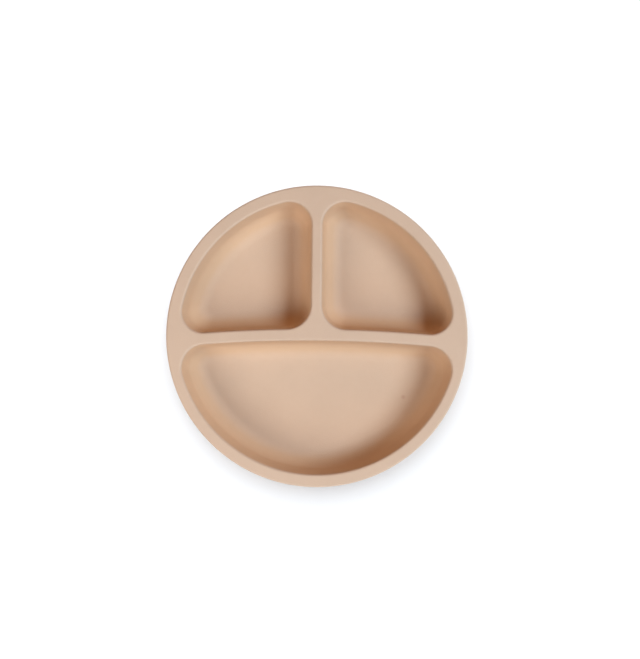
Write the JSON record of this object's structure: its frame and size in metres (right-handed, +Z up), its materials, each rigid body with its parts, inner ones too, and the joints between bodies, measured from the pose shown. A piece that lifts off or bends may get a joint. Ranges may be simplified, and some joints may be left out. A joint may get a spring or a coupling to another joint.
{
  "type": "divided silicone plate",
  "caption": "Round, soft silicone plate with sunk, divided compartments that keep foods apart, and a round foot to stand on.",
  "frame": {"origin": "middle of the foot, on the surface that the plate stands on", "axes": "+Z up out of the compartments, +X to the right along the long divider, with the two small compartments on the +Y side and the big one on the -Y side"},
  "size_m": [0.19, 0.19, 0.031],
  "materials": {
    "silicone": "smooth matte"
  },
  "bodies": {
    "root": {"plate": "silicone"}
  },
  "joints": []
}
